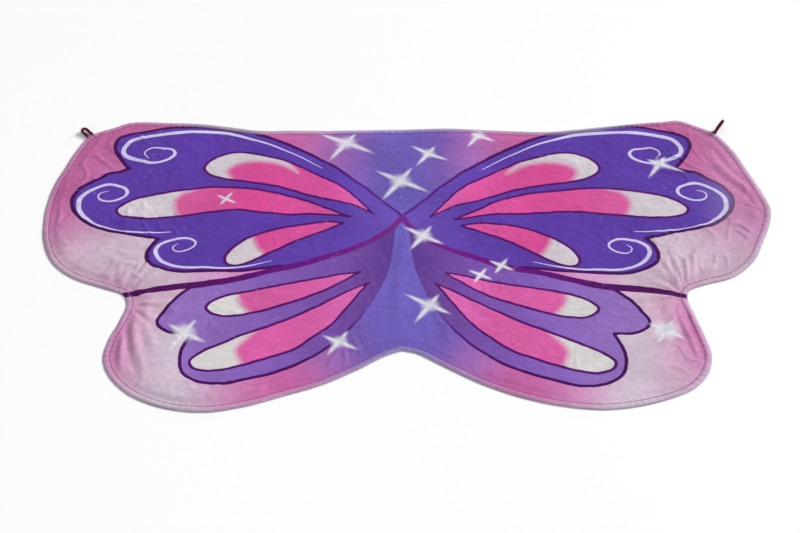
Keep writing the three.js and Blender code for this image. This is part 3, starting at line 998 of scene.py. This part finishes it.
CORD_RADIUS = 2.4
CORD_STEP = 0.32
CORD_SEAT = 1.9  # height of its middle line in the seam
CORD_HIDDEN = 7.0  # how far each end runs into the seam
LOOP_STAND_OFF = 4.0  # from the cloth's edge to the line that the loop swings on
STRAND_PITCH = 1.7  # how fast the braid's strands wind
TACK_INSET = 5.0
TACK_LENGTH = 12.0
# The root is in pattern millimetres. The loop leaves it at the heading, and its plane is lifted
# and rolled by the two other angles.
LOOPS = {
    "right": dict(root=(536.5, 334.5), heading=45, lift=33, roll=-59, height=3.9, reach=16.2,
                  foot_half=2.7, seam_half=2.7, end_half=5),
    "left": dict(root=(536, 328), heading=45, lift=8, roll=0, height=2.5, reach=10.2,
                 foot_half=4.5, seam_half=4.5, end_half=4.3),
}


def bezier(a, b, c, d, count=14):
    """A cubic curve from a to d."""
    t = np.linspace(0, 1, count)[:, None]
    a, b, c, d = (np.array(p, float) for p in (a, b, c, d))
    return a * (1 - t) ** 3 + 3 * b * t * (1 - t) ** 2 + 3 * c * t * t * (1 - t) + d * t**3


def loop_middle(name):
    """The cord's middle line from one end in the seam to the other, in mm in the row frame."""
    k = LOOPS[name]
    reach, seam, end = k["reach"], k["seam_half"], k["end_half"]
    turn = np.linspace(-math.pi / 2, math.pi / 2, 20)[1:-1]
    round_end = np.column_stack([reach + end * np.cos(turn), end * np.sin(turn)])
    out = bezier((0, -seam), (0.4 * reach, -seam), (0.6 * reach, -end), (reach, -end))
    flat = np.vstack([out, round_end, out[::-1] * [1, -1]])
    heading = math.radians(k["heading"] if SIDES[name] > 0 else 180 - k["heading"])
    turned = (Matrix.Rotation(heading, 3, "Z") @ Matrix.Rotation(-math.radians(k["lift"]), 3, "Y")
              @ Matrix.Rotation(math.radians(k["roll"]), 3, "X"))
    root = np.array([SPINE_X + SIDES[name] * k["root"][0], DRAFT_Y + k["root"][1], 0])
    ahead = np.array([math.cos(heading), math.sin(heading), 0])
    pivot = root + LOOP_STAND_OFF * ahead + [0, 0, k["height"]]
    free = np.column_stack([flat, np.zeros(len(flat))]) @ np.array(turned).T + pivot
    across = np.array([-ahead[1], ahead[0], 0]) * k["foot_half"]
    seat = root + [0, 0, CORD_SEAT]
    one, two = ([seat - CORD_HIDDEN * ahead + side * across, seat - 1.5 * ahead + side * across]
                for side in (-1, 1))
    return smooth_line(np.vstack([one, free, two[::-1]]), CORD_STEP), pivot, ahead


def tube(name, line, section):
    """A closed tube along a line. section(place, turn) gives its radius."""
    along = np.gradient(line, axis=0)
    along /= np.linalg.norm(along, axis=1)[:, None]
    side = np.cross(along[0], (0.3, 0.2, 1.0))
    sides = 24
    turn = 2 * math.pi * np.arange(sides) / sides
    place = np.r_[0, np.cumsum(np.linalg.norm(np.diff(line, axis=0), axis=1))]
    points = []
    for i, middle in enumerate(line):
        side = side - (side @ along[i]) * along[i]
        side /= np.linalg.norm(side)
        other = np.cross(along[i], side)
        ring = np.cos(turn)[:, None] * side + np.sin(turn)[:, None] * other
        points.append(middle + section(place[i], turn)[:, None] * ring)
    return new_mesh(name, np.vstack(points) * MM, tube_faces(len(line), sides))


def braid(place, turn):
    """A braided cord's radius: two sets of strands that wind round it both ways."""
    one = np.abs(np.cos(2 * turn + place * STRAND_PITCH))
    two = np.abs(np.cos(2 * turn - place * STRAND_PITCH))
    return CORD_RADIUS - 0.2 + 0.42 * np.maximum(one, two)


def make_finger_loop(name):
    """The braided cord. The seam presses its two ends flat."""
    line, pivot, ahead = loop_middle(name)
    whole = CORD_STEP * (len(line) - 1)

    def section(place, turn):
        free = ease(min(place, whole - place), 3, 8)
        return braid(place, turn) * (0.55 + 0.45 * free)

    return tube(f"finger_loop_{name}", line, section), Vector(pivot * MM), Vector(ahead)


def make_loop_tack(name):
    """The dense bar of stitches across the loop's ends."""
    heading = math.radians(LOOPS[name]["heading"])
    ahead = np.array([math.cos(heading), math.sin(heading)])
    middle = np.array(LOOPS[name]["root"], float) - TACK_INSET * ahead
    across = np.array([-ahead[1], ahead[0]])
    places = np.linspace(-TACK_LENGTH / 2, TACK_LENGTH / 2, 19)[:, None]
    starts, ends = middle + places * across - ahead, middle + (places + 0.35) * across + ahead
    return sew(f"loop_tack_{name}", on_print(name, starts, 0.15), on_print(name, ends, 0.15),
               BAR_THREAD_RADIUS)


# ---------------------------------------------------------------- shoulder straps and label

STRAP_WIDTH = 15.0
STRAP_THICKNESS = 1.2
STRAP_FOOT = 60.0  # from the spine to the line that both sewn ends stop at
STRAP_OUT = 37.0  # from there to the middle of the strap where it runs down
STRAP_BEND = 28.0
STRAP_TOP = 312.0
STRAP_BOTTOM = 108.0
STRAP_END = 13.0
STRAP_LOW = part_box("left_shoulder_strap")[0].z / MM
STRAP_STEP = 0.5  # between the strap's rows of vertices
RIDGE_PITCH = 1.5
BOX_MARGIN = 1.5  # from the sewn end's outline to its stitching


def strap_middle(step=0.0):
    """The strap's middle line, from sewn end to sewn end, in pattern millimetres."""
    bend_x = STRAP_FOOT + STRAP_OUT - STRAP_BEND
    turn = np.linspace(math.pi / 2, 0, 12)
    arc = STRAP_BEND * np.column_stack([np.cos(turn), np.sin(turn)])
    upper = arc + [bend_x, STRAP_TOP - STRAP_BEND]
    lower = arc[::-1] * [1, -1] + [bend_x, STRAP_BOTTOM + STRAP_BEND]
    inner = STRAP_FOOT - STRAP_END
    line = np.vstack([(inner, STRAP_TOP), upper, lower, (inner, STRAP_BOTTOM)])
    return even_steps(line, step) if step else line


def make_strap(name):
    """Flat woven elastic: raised ribs along it, fine ridges across and rounded selvedges."""
    line = smooth_line(strap_middle(9.0), STRAP_STEP)
    ahead = np.gradient(line, axis=0)
    ahead /= np.linalg.norm(ahead, axis=1)[:, None]
    across = np.linspace(-1, 1, 37)
    selvedge = np.sqrt(np.clip(1 - np.abs(across) ** 14, 0, 1))
    ribs = 0.08 * np.cos(across * math.pi * 9)
    ridge = np.cos(2 * math.pi * np.arange(len(line)) * STRAP_STEP / RIDGE_PITCH)[:, None]
    offset = (STRAP_WIDTH / 2 + 0.12 * ridge) * across
    half = (STRAP_THICKNESS / 2 - 0.1) * (0.35 + 0.65 * selvedge) + (ribs + 0.035 * ridge) * selvedge
    x, y = line[:, :1] + ahead[:, 1:] * offset, line[:, 1:] - ahead[:, :1] * offset
    middle_z = STRAP_LOW + STRAP_THICKNESS / 2
    return closed_sheet(f"shoulder_strap_{name}", SIDES[name], x, y, middle_z - half, middle_z + half,
                        grid_quads(*x.shape))


def make_strap_stitching(name):
    """A box with a cross at each sewn end, on the strap's underside."""
    starts, ends = [], []
    left, right = STRAP_FOOT - STRAP_END + BOX_MARGIN, STRAP_FOOT - BOX_MARGIN
    half = STRAP_WIDTH / 2 - BOX_MARGIN
    for middle in (STRAP_TOP, STRAP_BOTTOM):
        low, high = middle - half, middle + half
        box = np.array([(left, low), (right, low), (right, high), (left, high)])
        for i, j in ((0, 1), (1, 2), (2, 3), (3, 0), (0, 2), (1, 3)):
            count = round(np.linalg.norm(box[j] - box[i]) / 2.6)
            places = np.arange(count)[:, None] / count
            starts.append(box[i] + (box[j] - box[i]) * (places + 0.1 / count))
            ends.append(box[i] + (box[j] - box[i]) * (places + 0.9 / count))
    points = (to_row_frame(SIDES[name], *p.T, np.full(len(p), STRAP_LOW + 0.02))
              for p in (np.vstack(starts), np.vstack(ends)))
    return sew(f"strap_stitching_{name}", *points, FINE_THREAD_RADIUS)


def make_label():
    """A blank woven label, folded under at its top and a little curled at its free end."""
    width, length = (label_high - label_low).xy / MM
    u, v = np.meshgrid(np.linspace(0, 1, 33), np.linspace(0, 1, 47))
    curl = -0.55 * v**2 * (1 + 0.4 * np.cos(math.pi * u)) - 0.06 * np.sin(7 * v + 2 * u)
    high = label_high.z / MM + curl
    low = high - 0.28 - 0.22 * (1 - ease(v, 0.1, 0.13))
    return closed_sheet("care_label_cloth", 1, (u - 0.5) * width, LABEL_TOP - v * length, low, high,
                        grid_quads(*u.shape))


def make_label_stitching():
    """The row that holds the label, which comes through to the print."""
    rows = []
    for shift in (0.0, 2.3):
        places = [(x + shift, LABEL_TOP - 2.0) for x in range(-14, 13, 3)]
        rows.append(np.vstack([on_print("right" if x > 0 else "left", [(abs(x), y)])
                               for x, y in places]))
    return sew("label_stitching", *rows, LABEL_THREAD_RADIUS)


# ---------------------------------------------------------------- assembling

# The stage, in metres.
FLOOR_SIZE = 14.0
FLOOR_GAP = 0.0004  # the floor lies this far below zero height
CAMERA_ELEVATION = math.radians(43.3)
CAMERA_DISTANCE = 3.0
CAMERA_TARGET = (-0.0135, -0.0277, 0)
CAMERA_LENS = 84.8


def furnish(piece, material, slot, *replaced):
    """Gives a piece its material and hides the CAD nodes that it stands for; its slot is not used."""
    piece.data.materials.append(material)
    if replaced:
        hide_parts(*replaced)
    return piece


def fold_at(piece):
    """Bakes the piece's transform into its mesh."""
    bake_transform(piece)


def add_floor():
    """A wide pale floor under the cape."""
    places = np.linspace(-FLOOR_SIZE / 2, FLOOR_SIZE / 2, 8)
    u, v = np.meshgrid(places, places)
    points = np.column_stack([u.ravel(), v.ravel(), np.full(u.size, -FLOOR_GAP)])
    floor = new_mesh("floor", points, grid_quads(*u.shape)[:, ::-1])
    floor.data.materials.append(floor_finish())
    return floor


def add_light(name, kind, energy, place, **settings):
    """A soft light that shines from `place` towards the middle of the floor."""
    data = bpy.data.lights.new(name, kind)
    data.energy = energy
    for key, value in settings.items():
        setattr(data, key, value)
    light = bpy.data.objects.new(name, data)
    light.location = place
    light.rotation_euler = Vector(place).to_track_quat("Z", "Y").to_euler()
    bpy.context.scene.collection.objects.link(light)


def add_camera():
    """The viewing angle: from the hem side, looking down at the open cape."""
    lens = bpy.data.cameras.new("camera")
    lens.lens = CAMERA_LENS
    lens.sensor_width = 36
    camera = bpy.data.objects.new("camera", lens)
    bpy.context.scene.collection.objects.link(camera)
    back = Vector((0, -math.cos(CAMERA_ELEVATION), math.sin(CAMERA_ELEVATION)))
    camera.location = Vector(CAMERA_TARGET) + CAMERA_DISTANCE * back
    camera.rotation_mode = "QUATERNION"
    camera.rotation_quaternion = (-back).to_track_quat("-Z", "Y")
    bpy.context.scene.camera = camera


def set_studio():
    """A white surround, two distant lights, and a near one that shines on the right wing most."""
    scene = bpy.context.scene
    scene.view_settings.view_transform = "Standard"
    scene.view_settings.look = "None"
    scene.world = bpy.data.worlds.new("studio")
    scene.world.use_nodes = True
    background = scene.world.node_tree.nodes["Background"]
    background.inputs["Color"].default_value = (1, 1, 1, 1)
    background.inputs["Strength"].default_value = 0.4
    add_light("key", "SUN", 3.4, (4.2, 3.0, 2.6), angle=math.radians(26))
    add_light("fill", "SUN", 0.35, (-2.5, -2.5, 3.0), angle=math.radians(60))
    add_light("window", "AREA", 6.0, (2.2, 0.3, 1.6), size=1.5)


def main():
    add_camera()
    set_studio()
    floor = add_floor()
    velour, satin = printed_cloth(), lining_cloth()
    thread = twisted_thread("mauve_thread", 124, 64, 128)
    pale_thread = twisted_thread("pale_thread", 205, 196, 222)
    dark_thread = twisted_thread("maroon_thread", 104, 26, 58)
    elastic = elastic_cord()

    for name in SIDES:
        wing, loop, strap = f"{name}_wing", f"{name}_finger_loop", f"{name}_shoulder_strap"
        lining = furnish(make_lining(name), satin, "lining_cloth", f"{wing}_lining", "back_lining")
        cover = furnish(make_print(name), velour, "printed_cloth", f"{wing}_print", "back_print")
        topstitch = furnish(make_topstitch(name), thread, "sewing_thread",
                            f"{wing}_topstitch", "neck_topstitch", "hem_topstitch")
        for piece in (lining, cover, topstitch):
            fold_at(piece)

        cord, pivot, ahead = make_finger_loop(name)
        furnish(cord, elastic, "loop_elastic", loop)
        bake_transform(cord)
        tack = furnish(make_loop_tack(name), dark_thread, "sewing_thread", f"{name}_loop_tack")
        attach(tack, wing)

        tape = furnish(make_strap(name), elastic, "strap_elastic",
                       strap, f"{name}_strap_top_tack", f"{name}_strap_bottom_tack")
        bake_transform(tape)
        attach(furnish(make_strap_stitching(name), dark_thread, "sewing_thread"), "back")

    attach(furnish(make_label(), label_cloth(), "label_cloth", "care_label"), "back")
    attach(furnish(make_label_stitching(), pale_thread, "sewing_thread"), "back")



main()
